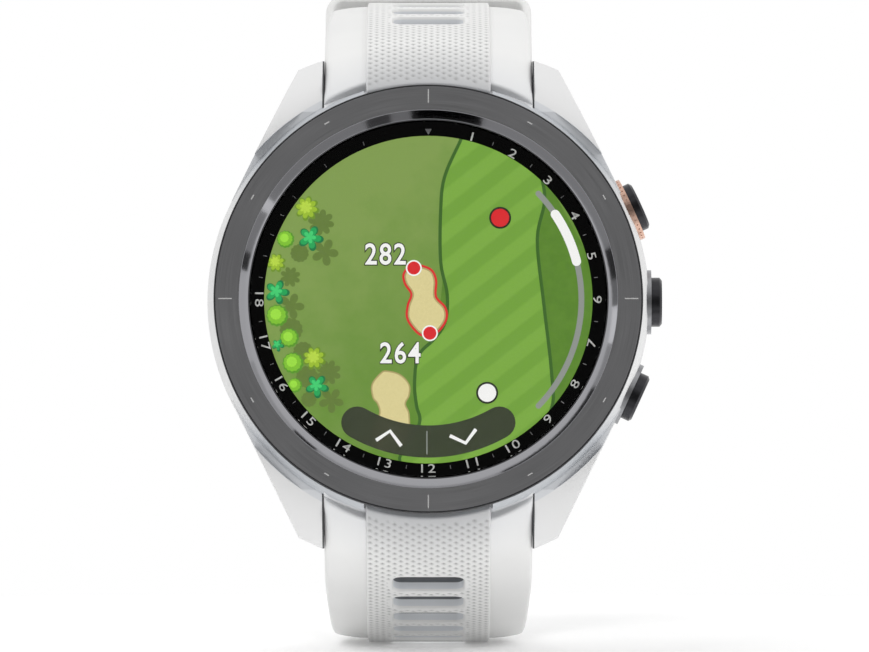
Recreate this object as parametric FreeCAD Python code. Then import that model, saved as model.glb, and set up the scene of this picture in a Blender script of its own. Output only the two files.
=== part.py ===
"""Golf GPS watch: round case, steel bezel, three side buttons and a vented two-piece silicone strap.

Millimetres. +Z runs from the dial centre to 12 o'clock, +X to 3 o'clock, +Y from the dial to the wrist.
The origin is the centre of the flat case back. The strap lies open, with its tail past the buckle.
"""
import FreeCAD
import Part
import math
import os

# case, dial and glass
BEZEL_R = 23.0
BEZEL_FLAT_R = 20.25
RING_R = 19.2
DISPLAY_R = 17.6
BEZEL_TOP = -13.8
CASE_TOP = -11.9
CASE_R = 23.75
CAVITY_R = 19.9
SHELF_Y = -11.2
SHELF_R = 18.35
LENS_BACK = -11.65
COVER_R = 20.95
COVER_SEAT = -1.6
BACK_FLAT_R = 17.0
SCREW_RING_R = 18.7
SCREW_ANGLES = (45, 135, 225, 315)

# lugs and strap pins
LUG_HALF_GAP = 11.4
PIN_Y = -4.0
PIN_Z = 24.5
PIN_TIP_R = 0.45
PIN_TUBE_R = 0.9
KNUCKLE_R = 2.0
RELIEF_Z = 20.8
GROOVE_R = 24.4
GROOVE_Y = -10.4
NOTCH_R = 22.5

# buttons, at these angles above 3 o'clock
BUTTON_ANGLES = {"start": 24.7, "menu": 0.0, "back": -24.7}
BUTTON_Y = -7.5
CAP_R = 2.65
CAP_FACE = 25.1
STEM_R = 1.0
COLLAR_R = 3.45
POCKET_X = 22.6

# strap: (start angle, end angle, radius) of each arc of its outer face, from the lug outwards
UPPER_ARCS = ((50, 70, 35.0), (70, 80, 97.0), (80, 90, 60.0), (90, 180, 20.5))
LOWER_ARCS = ((50, 70, 35.0), (70, 80, 97.0), (80, 90, 60.0), (90, 195.2, 42.0))
STRAP_START = (-9.2, 23.5)
STRAP_T = 2.6
STRAP_HALF = 11.2
STRAP_TIP_HALF = 10.1
PANEL_HALF = 6.6
PANEL_RISE = 0.45
SLOT_PITCH = 5.6
SLOT_LONG = 7.0
SLOT_WIDE = 3.9
UPPER_SLOT_1 = 17.6
LOWER_SLOT_1 = 12.5
HINGE_GAP = 0.12
UPPER_FLEX = UPPER_SLOT_1 + 3.5 * SLOT_PITCH
LOWER_FLEX = (LOWER_SLOT_1 + 4.5 * SLOT_PITCH, LOWER_SLOT_1 + 11.5 * SLOT_PITCH)
FREE_KEEPER_S = 50.0
FIXED_KEEPER_S = 63.0
BAR_R = 0.9
KEEPER_WALL = 1.1
TAIL_ROOM = 3.3

X = FreeCAD.Vector(1, 0, 0)
Y = FreeCAD.Vector(0, 1, 0)
Z = FreeCAD.Vector(0, 0, 1)
HERE = FreeCAD.Vector(0, 0, 0)


def disc(radius, front, back, x=0, z=0):
    """A cylinder along Y between two depths."""
    return Part.makeCylinder(radius, back - front, FreeCAD.Vector(x, front, z), Y)


def ring(outer, inner, front, back, x=0, z=0):
    return disc(outer, front, back, x, z).cut(disc(inner, front, back, x, z))


def rod(radius, x0, x1, y, z):
    """A cylinder along X."""
    return Part.makeCylinder(radius, x1 - x0, FreeCAD.Vector(x0, y, z), X)


def block(x0, x1, y0, y1, z0, z1):
    return Part.makeBox(x1 - x0, y1 - y0, z1 - z0, FreeCAD.Vector(x0, y0, z0))


def turned(profile):
    """A profile of (radius, depth) points turned about the dial axis."""
    points = [FreeCAD.Vector(r, y, 0) for r, y in profile]
    face = Part.Face(Part.makePolygon(points + points[:1]))
    return face.revolve(HERE, Y, 360)


def prism(outline, direction):
    """A flat outline of vectors drawn out along a direction."""
    return Part.Face(Part.makePolygon(outline + outline[:1])).extrude(direction)


def at_angle(shape, degrees):
    """A shape built towards 3 o'clock, turned up towards 12 o'clock."""
    turned_shape = shape.copy()
    turned_shape.rotate(HERE, Y, -degrees)
    return turned_shape


def around(radius, angles):
    return [(radius * math.cos(math.radians(a)), radius * math.sin(math.radians(a))) for a in angles]


def fused(shapes):
    return shapes[0].multiFuse(shapes[1:]).removeSplitter()


def export(node, shape):
    shape.exportStep("parts/" + node + ".step")


def lower(shape):
    """The 6 o'clock twin of a shape built at 12 o'clock."""
    return shape.mirror(HERE, Z)


# ---- case ----

def lugs():
    """Two lug pairs: the front outline, cut to a side outline with a rolled front."""
    front = [(LUG_HALF_GAP, 15.0), (LUG_HALF_GAP, 26.3), (14.0, 25.1), (21.1, 10.75), (17.0, 10.0)]
    start, middle, end = (FreeCAD.Vector(10, y, z) for y, z in ((-11.35, 15.0), (-10.1, 21.0), (-6.3, 25.7)))
    rest = [(-4.0, 26.6), (-1.6, 26.6), (-0.4, 24.6), (-0.9, 18.0), (-1.2, 10.0), (-11.35, 10.0)]
    roll = Part.Arc(start, middle, end).toShape()
    back = Part.makePolygon([end] + [FreeCAD.Vector(10, y, z) for y, z in rest] + [start])
    profile = Part.Face(Part.Wire([roll] + back.Edges)).extrude(X * 14)
    plan = prism([FreeCAD.Vector(x, -12, z) for x, z in front], Y * 14)
    lug = plan.common(profile).cut(disc(GROOVE_R, -12, GROOVE_Y))
    pair = [lug, lug.mirror(HERE, X)]
    return pair + [lower(each) for each in pair]


def case_body():
    body = turned([(0, CASE_TOP), (22.95, CASE_TOP), (23.35, -11.2), (23.6, GROOVE_Y), (CASE_R, -8.4),
                   (CASE_R, -5.6), (22.7, -2.4), (21.9, -0.7), (0, -0.7)])
    body = fused([body] + lugs())
    tools = [disc(CAVITY_R, -10.4, COVER_SEAT), disc(SHELF_R, -12, -10.4), disc(19.32, -12, SHELF_Y)]
    tools.append(disc(COVER_R + 0.03, COVER_SEAT, 0))
    tools.append(ring(21.55, 20.65, -12, -11.35))
    for side in (1, -1):
        low, high = sorted((side * RELIEF_Z, side * 30))
        tools.append(block(-LUG_HALF_GAP, LUG_HALF_GAP, GROOVE_Y, 2, low, high))
        notch = block(-PANEL_HALF - 0.3, PANEL_HALF + 0.3, -12, GROOVE_Y, *sorted((side * 20, side * 30)))
        tools.append(notch.common(ring(30, NOTCH_R, -12, GROOVE_Y)))
        tools.append(rod(PIN_TIP_R + 0.05, -13.2, 13.2, PIN_Y, side * PIN_Z))
    body = body.cut(fused(tools[:4]))
    for tool in tools[4:]:
        body = body.cut(tool)
    for x, z in around(SCREW_RING_R, SCREW_ANGLES):
        body = body.fuse(disc(1.4, -5.4, COVER_SEAT, x, z))
    for x, z in around(SCREW_RING_R, SCREW_ANGLES):
        body = body.cut(disc(0.5, -4.6, COVER_SEAT, x, z))
    for angle in BUTTON_ANGLES.values():
        body = body.cut(at_angle(rod(COLLAR_R + 0.02, POCKET_X, 26, BUTTON_Y, 0), angle))
        body = body.cut(at_angle(rod(STEM_R + 0.05, 18, 24, BUTTON_Y, 0), angle))
        body = body.cut(at_angle(rod(1.85, 20.9, 21.7, BUTTON_Y, 0), angle))
    return body.removeSplitter()


def bezel():
    return turned([(RING_R + 0.03, CASE_TOP), (BEZEL_R - 0.1, CASE_TOP), (BEZEL_R, CASE_TOP - 0.1),
                   (BEZEL_R, -13.45), (22.7, BEZEL_TOP), (BEZEL_FLAT_R, BEZEL_TOP), (RING_R + 0.03, -13.3)])


def rear_cover():
    """The back plate, with the sensor bore, the charging slot and four countersunk screw holes."""
    plate = turned([(0, COVER_SEAT), (COVER_R, COVER_SEAT), (COVER_R, -0.55), (BACK_FLAT_R, 0), (0, 0)])
    cuts = [disc(6.05, -0.9, 0.1), disc(5.2, -2, 0), block(-4, 4, -2, 1, -14.1, -10.9)]
    cuts += [ring(20.7, 20.1, -1.7, -1.1)]
    for x, z in around(SCREW_RING_R, SCREW_ANGLES):
        cuts += [disc(1.05, -0.9, 1, x, z), disc(0.55, -2, 0, x, z)]
    for cut in cuts:
        plate = plate.cut(cut)
    return plate


def rear_screws():
    screws = []
    for x, z in around(SCREW_RING_R, SCREW_ANGLES):
        head = disc(1.0, -0.9, -0.3, x, z).cut(block(x - 0.7, x + 0.7, -0.5, 0, z - 0.12, z + 0.12))
        screws.append(head.fuse(disc(0.49, -4.4, -0.9, x, z)))
    return Part.makeCompound(screws)


def make_case():
    export("case_body", case_body())
    export("bezel", bezel())
    export("bezel_gasket", ring(21.5, 20.7, CASE_TOP, -11.35))
    export("rear_cover", rear_cover())
    export("rear_gasket", ring(20.7, 20.1, COVER_SEAT, -1.1))
    export("rear_screws", rear_screws())


# ---- glass, display and electronics ----

def make_display():
    lens = turned([(0, -13.3), (19.0, -13.3), (19.2, -13.1), (19.2, LENS_BACK), (0, LENS_BACK)])
    export("lens", lens)
    export("chapter_ring", ring(19.1, DISPLAY_R, LENS_BACK, -11.45))
    export("lens_gasket", ring(19.1, 18.4, -11.45, SHELF_Y))
    export("display_panel", disc(18.2, -11.45, -10.35))
    export("display_flex", block(-3, 3, -10.35, -7.8, -17.6, -17.3))


def inner_frame():
    frame = disc(18.8, -10.2, -9.3).cut(block(-3.5, 3.5, -11, -9, -19, -16.9))
    for x in (-10, 10):
        frame = frame.cut(disc(3.0, -11, -9, x, 9)).cut(disc(3.0, -11, -9, x, -9))
    return frame


def shield_can(x0, x1, z0, z1, front, back):
    outer = block(x0, x1, front, back, z0, z1)
    return outer.cut(block(x0 + 0.2, x1 - 0.2, front + 0.2, back, z0 + 0.2, z1 - 0.2))


def main_board():
    board = disc(19.4, -7.8, -7.0).common(block(-20, 14.1, -8, -6, -20, 20))
    return board.cut(disc(2.0, -8, -6, -17.5, 0))


def motor_weight():
    half = Part.makeCylinder(1.5, 2.5, FreeCAD.Vector(-14.5, -4.4, 4.6), Z)
    return half.cut(block(-17, -14.5, -7, -1, 4, 8)).cut(Part.makeCylinder(0.3, 5, FreeCAD.Vector(-14.5, -4.4, 4), Z))


def make_electronics():
    export("inner_frame", inner_frame())
    export("antenna_ring", ring(19.8, 19.0, -10.2, -9.2))
    export("main_board", main_board())
    export("processor_shield", shield_can(-8, 4, -6, 6, -9.2, -7.8))
    export("gps_receiver", block(-14, -9.5, -8.9, -7.8, 4, 9))
    export("pressure_sensor", block(-16, -13, -7.0, -6.2, -9.5, -6.5))
    export("battery", block(-12.2, 13.2, -6.4, -2.6, -14, 14).common(disc(15.5, -7, -2)))
    can = Part.makeCylinder(1.6, 6.0, FreeCAD.Vector(-14.5, -4.4, -2.0), Z)
    export("motor_can", can.cut(Part.makeCylinder(0.34, 1.5, FreeCAD.Vector(-14.5, -4.4, 2.5), Z)))
    export("motor_shaft", Part.makeCylinder(0.3, 4.3, FreeCAD.Vector(-14.5, -4.4, 2.8), Z))
    export("motor_weight", motor_weight())
    export("sensor_window", disc(6.0, -0.9, 0))
    export("sensor_board", disc(5.6, -2.3, COVER_SEAT - 0.3))
    leds = [block(x - 0.7, x + 0.7, COVER_SEAT - 0.3, -1.0, z - 0.7, z + 0.7)
            for x, z in around(2.6, (0, 90, 180, 270))]
    export("sensor_leds", Part.makeCompound(leds))
    insert = block(-4, 4, COVER_SEAT, -0.05, -14.1, -10.9).cut(block(-3.5, 3.5, -1.05, 0, -13.6, -11.4))
    pins = [disc(0.4, -2.2, -0.55, x, -12.5) for x in (-2.4, -0.8, 0.8, 2.4)]
    for pin in pins:
        insert = insert.cut(pin)
    export("charge_port", insert)
    export("charge_contacts", Part.makeCompound(pins))


# ---- buttons ----

def button():
    """A domed cap on a stem that ends in a clip groove."""
    cap = rod(CAP_R, 23.7, CAP_FACE - 0.25, BUTTON_Y, 0)
    dome = Part.makeCone(CAP_R, CAP_R - 0.3, 0.25, FreeCAD.Vector(CAP_FACE - 0.25, BUTTON_Y, 0), X)
    stem = rod(STEM_R, 18.95, 23.7, BUTTON_Y, 0)
    groove = rod(STEM_R, 19.4, 19.75, BUTTON_Y, 0).cut(rod(0.7, 19.4, 19.75, BUTTON_Y, 0))
    return fused([cap, dome, stem]).cut(groove)


def collar():
    return rod(COLLAR_R, POCKET_X, 24.1, BUTTON_Y, 0).cut(rod(CAP_R + 0.25, 22, 25, BUTTON_Y, 0))


def collar_dimples():
    """Two staggered rows of small blind holes round the rim of the start collar."""
    holes = []
    for row, x in enumerate((23.45, 23.8)):
        for step in range(36):
            turn = (step + 0.5 * row) * 10
            hole = Part.makeCylinder(0.09, 0.2, FreeCAD.Vector(x, BUTTON_Y, COLLAR_R - 0.1), Z)
            hole.rotate(FreeCAD.Vector(0, BUTTON_Y, 0), X, turn)
            holes.append(hole)
    return Part.makeCompound(holes)


def make_buttons():
    clip = rod(1.5, 19.4, 19.75, BUTTON_Y, 0).cut(rod(0.7, 19, 20, BUTTON_Y, 0))
    clip = clip.cut(block(19, 20, BUTTON_Y, BUTTON_Y + 2, -0.55, 0.55))
    o_ring = rod(1.8, 20.95, 21.65, BUTTON_Y, 0).cut(rod(STEM_R + 0.07, 20, 22, BUTTON_Y, 0))
    switch = rod(1.1, 17.55, 18.35, BUTTON_Y, 0)
    guard = rod(COLLAR_R, POCKET_X, 23.95, BUTTON_Y, 0).cut(rod(CAP_R + 0.25, 22, 25, BUTTON_Y, 0))
    for name, angle in BUTTON_ANGLES.items():
        export(name + "_button", at_angle(button(), angle))
        export(name + "_clip", at_angle(clip, angle))
    export("button_seals", Part.makeCompound([at_angle(o_ring, a) for a in BUTTON_ANGLES.values()]))
    export("button_switches", Part.makeCompound([at_angle(switch, a) for a in BUTTON_ANGLES.values()]))
    export("start_collar", at_angle(collar().cut(collar_dimples()), BUTTON_ANGLES["start"]))
    export("menu_guard", at_angle(guard, BUTTON_ANGLES["menu"]))
    export("back_guard", at_angle(guard, BUTTON_ANGLES["back"]))
    flex = ring(17.55, 17.25, -9.1, -5.9).common(block(14.2, 20, -10, -5, -11, 11))
    for angle in BUTTON_ANGLES.values():
        flex = flex.cut(at_angle(rod(1.1, 17.4, 18.35, BUTTON_Y, 0), angle))
    export("button_flex", flex)


# ---- strap ----

class Path:
    """The outer face of a strap half in side view: arcs laid end to end from the lug."""

    def __init__(self, arcs):
        self.arcs = []
        y, z = STRAP_START
        along = 0.0
        for start, end, radius in arcs:
            a = math.radians(start)
            centre = (y + radius * math.cos(a), z - radius * math.sin(a))
            length = radius * math.radians(end - start)
            self.arcs.append((along, along + length, a, radius, centre))
            b = math.radians(end)
            y, z = centre[0] - radius * math.cos(b), centre[1] + radius * math.sin(b)
            along += length
        self.length = along

    def arc_at(self, along):
        for arc in self.arcs:
            if along <= arc[1]:
                return arc
        return self.arcs[-1]

    def angle(self, along):
        first, last, a, radius, centre = self.arc_at(along)
        return a + (along - first) / radius

    def point(self, along, lift, arc=None):
        first, last, a, radius, centre = arc or self.arc_at(along)
        turn = a + (along - first) / radius
        reach = radius + lift
        return FreeCAD.Vector(0, centre[0] - reach * math.cos(turn), centre[1] + reach * math.sin(turn))

    def edges(self, start, end, lift):
        run = []
        for arc in self.arcs:
            low = max(start, arc[0])
            high = min(end, arc[1])
            if high - low > 0.001:
                mid = (low + high) / 2
                run.append(Part.Arc(*[self.point(s, lift, arc) for s in (low, mid, high)]).toShape())
        return run

    def slab(self, start, end, bottom, top, half):
        """The band between two lifts, drawn out across the strap's width."""
        edges = self.edges(start, end, top) + self.edges(start, end, bottom)
        for along in (start, end):
            ends = (self.point(along, bottom), self.point(along, top))
            edges.append(Part.makeLine(*ends))
        wire = Part.Wire(Part.__sortEdges__(edges))
        band = Part.Face(wire).extrude(X * (2 * half))
        band.translate(X * -half)
        return band

    def placed(self, shape, along, lift):
        """A shape built flat (+Z along the strap, -Y outwards) set on the path."""
        moved = shape.copy()
        moved.rotate(HERE, X, -math.degrees(self.angle(along)))
        moved.translate(self.point(along, lift))
        return moved

    def cross_rod(self, along, lift, radius, half):
        spot = self.point(along, lift)
        return rod(radius, -half, half, spot.y, spot.z)


UPPER = Path(UPPER_ARCS)
LOWER = Path(LOWER_ARCS)


def slot():
    """A vent slot across the strap, with round ends."""
    end_r = SLOT_WIDE / 2
    reach = SLOT_LONG / 2 - end_r
    parts = [block(-reach, reach, -3, 5, -end_r, end_r)]
    parts += [disc(end_r, -3, 5, x, 0) for x in (-reach, reach)]
    return fused(parts)


def strap_sides():
    """The strap's outline seen from 12 o'clock: it narrows from the lugs to the tip."""
    outline = [(-STRAP_HALF, -20), (-STRAP_HALF, 0), (-STRAP_TIP_HALF, 26), (-STRAP_TIP_HALF, 90)]
    outline += [(-x, y) for x, y in reversed(outline)]
    return prism([FreeCAD.Vector(x, y, -60) for x, y in outline], Z * 120)


def strap_piece(path, start, end, slots, hinge_in=False, hinge_out=False):
    """One length of strap: a crowned band, its raised panel and its slots, with knuckles at the hinges."""
    body = path.slab(start, end, -STRAP_T, 0, 12)
    panel_start = start + 2.2 if hinge_in else start
    panel_end = end - 2.2 if hinge_out else end
    body = body.fuse(path.slab(panel_start, panel_end, -0.5, PANEL_RISE, PANEL_HALF))
    knuckle = STRAP_T / 2
    if hinge_out:
        body = body.fuse(path.cross_rod(end, -knuckle, knuckle, 12))
    if hinge_in:
        body = body.cut(path.cross_rod(start, -knuckle, knuckle + HINGE_GAP, 13))
    body = body.common(strap_sides())
    for along in slots:
        body = body.cut(path.placed(slot(), along, 0))
    return body


def slot_run(first, low, high):
    """The slot centres that lie between two distances along the strap."""
    count = int((high - first) / SLOT_PITCH) + 1
    return [first + SLOT_PITCH * i for i in range(count) if low < first + SLOT_PITCH * i < high]


def lug_end(piece):
    """Rounds the strap's lug end onto the pin, and opens the pin's bore and the latch slot."""
    collar_end = rod(KNUCKLE_R, -STRAP_HALF, STRAP_HALF, PIN_Y, PIN_Z)
    web = [FreeCAD.Vector(-STRAP_HALF, y, z)
           for y, z in ((-9.2, 23.5), (-4.9, 22.75), (-2.3, 25.5), (1.5, 27.4), (1.5, 29.4), (-5.3, 27.0))]
    body = fused([piece, prism(web, X * (2 * STRAP_HALF)), collar_end])
    body = body.cut(rod(PIN_TUBE_R, -12, 12, PIN_Y, PIN_Z))
    return body.cut(block(-9.6, -5.8, PIN_Y, 4, PIN_Z - 0.55, PIN_Z + 0.55))


def lug_pin():
    """The quick-release tube: a fixed tip on the right, a bore and a slot for the latch on the left."""
    tube = rod(PIN_TUBE_R, -11.1, 11.1, PIN_Y, PIN_Z).fuse(rod(PIN_TIP_R, 11.1, 12.9, PIN_Y, PIN_Z))
    tube = tube.cut(rod(0.55, -12, -2, PIN_Y, PIN_Z))
    return tube.cut(block(-9.6, -5.8, PIN_Y, 0, PIN_Z - 0.35, PIN_Z + 0.35))


def latch():
    """The sliding tip and its thumb knob."""
    tip = rod(PIN_TIP_R, -12.9, -4.6, PIN_Y, PIN_Z)
    arm = block(-9.4, -8.2, PIN_Y, -0.9, PIN_Z - 0.25, PIN_Z + 0.25)
    knob = block(-9.7, -7.9, -0.9, -0.2, PIN_Z - 0.9, PIN_Z + 0.9)
    return fused([tip, arm, knob])


def keeper(path, along, width, gap):
    """A loop round the strap with room for the tail on its outer side."""
    low, high = along - width / 2, along + width / 2
    half = STRAP_TIP_HALF + gap
    outer = path.slab(low, high, -STRAP_T - gap - KEEPER_WALL, TAIL_ROOM + KEEPER_WALL, half + KEEPER_WALL)
    return outer.cut(path.slab(low - 1, high + 1, -STRAP_T - gap, TAIL_ROOM, half))


def buckle_frame():
    """The frame, flat: +Z towards its far bar, with its origin on the pivot bar."""
    outer = block(-12.6, 12.6, -1.1, 1.1, -1.6, 11.2)
    window = block(-10.9, 10.9, -2, 2, -3, 9.0)
    rounded = outer.makeFillet(0.5, [e for e in outer.Edges if e.Length > 10])
    return rounded.cut(window).cut(rod(BAR_R + 0.05, -13, 13, 0, 0))


def buckle_tongue():
    """The tongue: an eye round the bar and a blade that rests on the frame's far bar."""
    eye = rod(1.75, -1.0, 1.0, 0, 0)
    side = [(-1.7, 0), (-1.7, 10.9), (-2.5, 10.9), (-2.5, 0.6)]
    blade = prism([FreeCAD.Vector(-1.0, y, z) for y, z in side], X * 2)
    neck = block(-1.0, 1.0, -1.72, -1.0, -0.2, 1.2)
    return fused([eye, blade, neck]).cut(rod(BAR_R + 0.05, -2, 2, 0, 0))


def make_upper_strap():
    slots = slot_run(UPPER_SLOT_1, 0, 58)
    near = strap_piece(UPPER, 0, UPPER_FLEX, slots, hinge_out=True)
    export("upper_strap_near", lug_end(near))
    end = UPPER.length
    far = strap_piece(UPPER, UPPER_FLEX, end, slots, hinge_in=True)
    far = far.fuse(UPPER.cross_rod(end, -STRAP_T / 2, STRAP_T / 2 + 0.5, STRAP_TIP_HALF))
    far = far.cut(UPPER.cross_rod(end, -STRAP_T / 2, BAR_R, 13))
    far = far.cut(UPPER.placed(block(-1.4, 1.4, -3, 5, -3.4, 3), end, -STRAP_T / 2))
    export("upper_strap_far", far)
    export("upper_lug_pin", lug_pin())
    export("upper_latch", latch())
    export("free_keeper", keeper(UPPER, FREE_KEEPER_S, 5.0, 0.3))
    export("fixed_keeper", keeper(UPPER, FIXED_KEEPER_S, 5.0, 0.0))
    export("buckle_bar", UPPER.cross_rod(end, -STRAP_T / 2, BAR_R, 12.4))
    export("buckle_frame", UPPER.placed(buckle_frame(), end, -STRAP_T / 2))
    export("buckle_tongue", UPPER.placed(buckle_tongue(), end, -STRAP_T / 2))


def tail_tip(piece):
    """Rounds the tail's two corners."""
    corner = block(-30, 30, -9, 9, -8, 30).cut(block(-3.1, 3.1, -9, 9, -8, 0))
    corner = corner.cut(disc(7.0, -9, 9, 3.1, -7.0)).cut(disc(7.0, -9, 9, -3.1, -7.0))
    corner = corner.cut(block(-30, 30, -10, 10, -20, -7.0))
    return piece.cut(LOWER.placed(corner, LOWER.length, -1.3))


def make_lower_strap():
    slots = slot_run(LOWER_SLOT_1, 0, LOWER.length - 16)
    cuts = (0,) + LOWER_FLEX + (LOWER.length,)
    near = lug_end(strap_piece(LOWER, cuts[0], cuts[1], slots, hinge_out=True))
    middle = strap_piece(LOWER, cuts[1], cuts[2], slots, hinge_in=True, hinge_out=True)
    tail = tail_tip(strap_piece(LOWER, cuts[2], cuts[3], slots, hinge_in=True))
    export("lower_strap_near", lower(near))
    export("lower_strap_middle", lower(middle))
    export("lower_strap_tail", lower(tail))
    export("lower_lug_pin", lower(lug_pin()))
    export("lower_latch", lower(latch()))


os.makedirs("parts", exist_ok=True)
make_case()
make_display()
make_electronics()
make_buttons()
make_upper_strap()
make_lower_strap()
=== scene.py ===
# A round golf watch on its silicone strap, standing on a pale table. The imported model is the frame: metres,
# +Z to 12 o'clock, +X to 3 o'clock, +Y from the dial through the case back to the wrist.
import math
import random

import bpy
import numpy as np
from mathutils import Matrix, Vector


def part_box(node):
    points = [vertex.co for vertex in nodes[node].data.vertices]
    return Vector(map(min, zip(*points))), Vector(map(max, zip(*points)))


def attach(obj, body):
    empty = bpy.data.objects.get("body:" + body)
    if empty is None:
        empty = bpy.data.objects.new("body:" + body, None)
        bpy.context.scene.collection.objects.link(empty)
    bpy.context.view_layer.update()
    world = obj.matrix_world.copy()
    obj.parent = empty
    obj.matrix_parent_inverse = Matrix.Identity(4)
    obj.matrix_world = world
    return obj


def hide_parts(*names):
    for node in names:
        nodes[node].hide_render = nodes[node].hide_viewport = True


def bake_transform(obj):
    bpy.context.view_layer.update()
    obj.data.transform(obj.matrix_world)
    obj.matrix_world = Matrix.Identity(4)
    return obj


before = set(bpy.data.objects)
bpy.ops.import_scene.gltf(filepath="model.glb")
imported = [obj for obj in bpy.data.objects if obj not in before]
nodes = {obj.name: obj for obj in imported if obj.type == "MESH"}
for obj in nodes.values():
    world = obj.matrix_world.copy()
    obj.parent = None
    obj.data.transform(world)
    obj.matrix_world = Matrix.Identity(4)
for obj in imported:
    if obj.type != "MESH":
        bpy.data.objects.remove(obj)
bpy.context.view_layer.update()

MM = 0.001


# ---- case ----
# The case is one fibre-filled moulding, fine matt and warm white, with four lugs. The seat that runs round
# the bezel between the lugs is painted grey as shade under the bezel, darker nearest the bezel wall.

class Wire:
    """One value in a material. Arithmetic on it adds the nodes."""

    def __init__(self, finish, socket):
        self.finish = finish
        self.socket = socket

    def maths(self, operation, *values):
        return self.finish.node("ShaderNodeMath", {"operation": operation}, *values)

    def __add__(self, other):
        return self.maths("ADD", self, other)

    def __radd__(self, other):
        return self.maths("ADD", other, self)

    def __sub__(self, other):
        return self.maths("SUBTRACT", self, other)

    def __rsub__(self, other):
        return self.maths("SUBTRACT", other, self)

    def __mul__(self, other):
        return self.maths("MULTIPLY", self, other)

    def __rmul__(self, other):
        return self.maths("MULTIPLY", other, self)

    def __truediv__(self, other):
        return self.maths("DIVIDE", self, other)

    def __rtruediv__(self, other):
        return self.maths("DIVIDE", other, self)

    def __pow__(self, other):
        return self.maths("POWER", self, other)


class Finish:
    """A surface finish: a Principled shader whose colour, roughness and relief are built in millimetres."""

    def __init__(self, name, colour, rough, metal=0.0, **uniform):
        self.material = bpy.data.materials.new(name)
        self.material.use_nodes = True
        self.tree = self.material.node_tree
        self.shader = self.tree.nodes["Principled BSDF"]
        self.shader.inputs["Metallic"].default_value = metal
        for key, value in uniform.items():
            self.shader.inputs[key.replace("_", " ")].default_value = value
        self.feed("Base Color", colour)
        self.feed("Roughness", rough)

    def node(self, kind, settings, *values, out=0, **named):
        made = self.tree.nodes.new(kind)
        for key, value in settings.items():
            if key == "stops":
                ramp = made.color_ramp.elements
                for spot, (place, level) in enumerate(value):
                    stop = ramp[spot] if spot < 2 else ramp.new(place)
                    stop.position = place
                    stop.color = (level, level, level, 1)
            else:
                setattr(made, key, value)
        for spot, value in [*enumerate(values), *named.items()]:
            self.join(value, made.inputs[spot])
        return Wire(self, made.outputs[out])

    def join(self, value, socket):
        if isinstance(value, Wire):
            self.tree.links.new(value.socket, socket)
        elif isinstance(value, (tuple, list)) and len(value) == 3 and len(socket.default_value) == 4:
            socket.default_value = (*value, 1)
        else:
            socket.default_value = value

    def feed(self, name, value):
        self.join(value, self.shader.inputs[name])

    def place(self):
        """Where a point is on the watch, in millimetres."""
        coords = self.node("ShaderNodeTexCoord", {}, out="Object")
        return self.node("ShaderNodeVectorMath", {"operation": "SCALE"}, coords, Scale=1 / MM)

    def axes(self, vector):
        return [self.node("ShaderNodeSeparateXYZ", {}, vector, out=axis) for axis in "XYZ"]

    def speckle(self, size, detail=2.0, vector=None):
        """Even random variation from 0 to 1, with features of a size in millimetres."""
        spot = vector or self.place()
        return self.node("ShaderNodeTexNoise", {}, Vector=spot, Scale=1 / size, Detail=detail)

    def ramp(self, value, *stops):
        return self.node("ShaderNodeValToRGB", {"stops": stops}, value)

    def tint(self, amount, dark, light):
        """A colour between two, by an amount from 0 to 1."""
        mix = self.tree.nodes.new("ShaderNodeMix")
        mix.data_type = "RGBA"
        for spot, value in ((0, amount), (6, dark), (7, light)):
            self.join(value, mix.inputs[spot])
        return Wire(self, mix.outputs[2])

    def relief(self, height, depth):
        """Bumps of a depth in millimetres, from a height of 0 to 1."""
        self.feed("Normal", self.node("ShaderNodeBump", {}, Height=height, Distance=depth * MM, Strength=1.0))


def shade(red, green, blue):
    """A colour as it looks on a screen, 0 to 255, as light."""
    return tuple((c / 255 / 12.92) if c < 11 else ((c / 255 + 0.055) / 1.055) ** 2.4
                 for c in (red, green, blue))


def dress(finish, *names):
    """Gives CAD nodes a finish."""
    for name in names:
        for slot in nodes[name].material_slots:
            slot.material = finish.material


def moulded(name, colour, low, high, grain, depth):
    """A moulded plastic: fine grain, faint clouding in the colour, uneven gloss."""
    finish = Finish(name, colour, low)
    cloud = finish.speckle(9.0)
    fine = finish.speckle(grain, detail=4.0)
    finish.clouded = finish.tint(cloud, tuple(0.94 * c for c in colour), colour)
    finish.feed("Base Color", finish.clouded)
    finish.feed("Roughness", fine * (high - low) + low)
    finish.relief(fine, depth)
    return finish


def polar(finish):
    """Distance from the dial's axis and turn about it, in millimetres and radians."""
    x, y, z = finish.axes(finish.place())
    return (x * x + z * z) ** 0.5, finish.node("ShaderNodeMath", {"operation": "ARCTAN2"}, z, x)


SPAN = 30
SEAT_R = 24.4
WALL_R = 23.6
case_white = moulded("case_white", shade(221, 221, 221), 0.42, 0.55, 0.12, 0.012)
case_radius, _ = polar(case_white)
_, case_depth, case_height = case_white.axes(case_white.place())
near_dial = case_white.ramp(case_radius / SPAN, ((SEAT_R - 0.02) / SPAN, 1.0), ((SEAT_R + 0.02) / SPAN, 0.0))
in_front = case_white.ramp(case_depth * -0.05, (0.483, 0.0), (0.487, 1.0))
by_lugs = case_white.ramp(case_height * case_height / SPAN ** 2, (0.1, 0.0), (0.24, 1.0))
# Painted shade: a grey band round the bezel, only between the lugs, stands in for the bezel's shadow on the
# seat.
seat_shade_band = near_dial * in_front * by_lugs
seat_shade_inner = case_white.ramp(case_radius / SPAN, (WALL_R / SPAN, 0.0), ((WALL_R + 0.2) / SPAN, 1.0))
seat_shade_grey = case_white.tint(seat_shade_inner, shade(180, 183, 187), shade(203, 205, 208))
case_white.feed("Base Color", case_white.tint(seat_shade_band, case_white.clouded, seat_shade_grey))
dress(case_white, "case_body")


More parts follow.
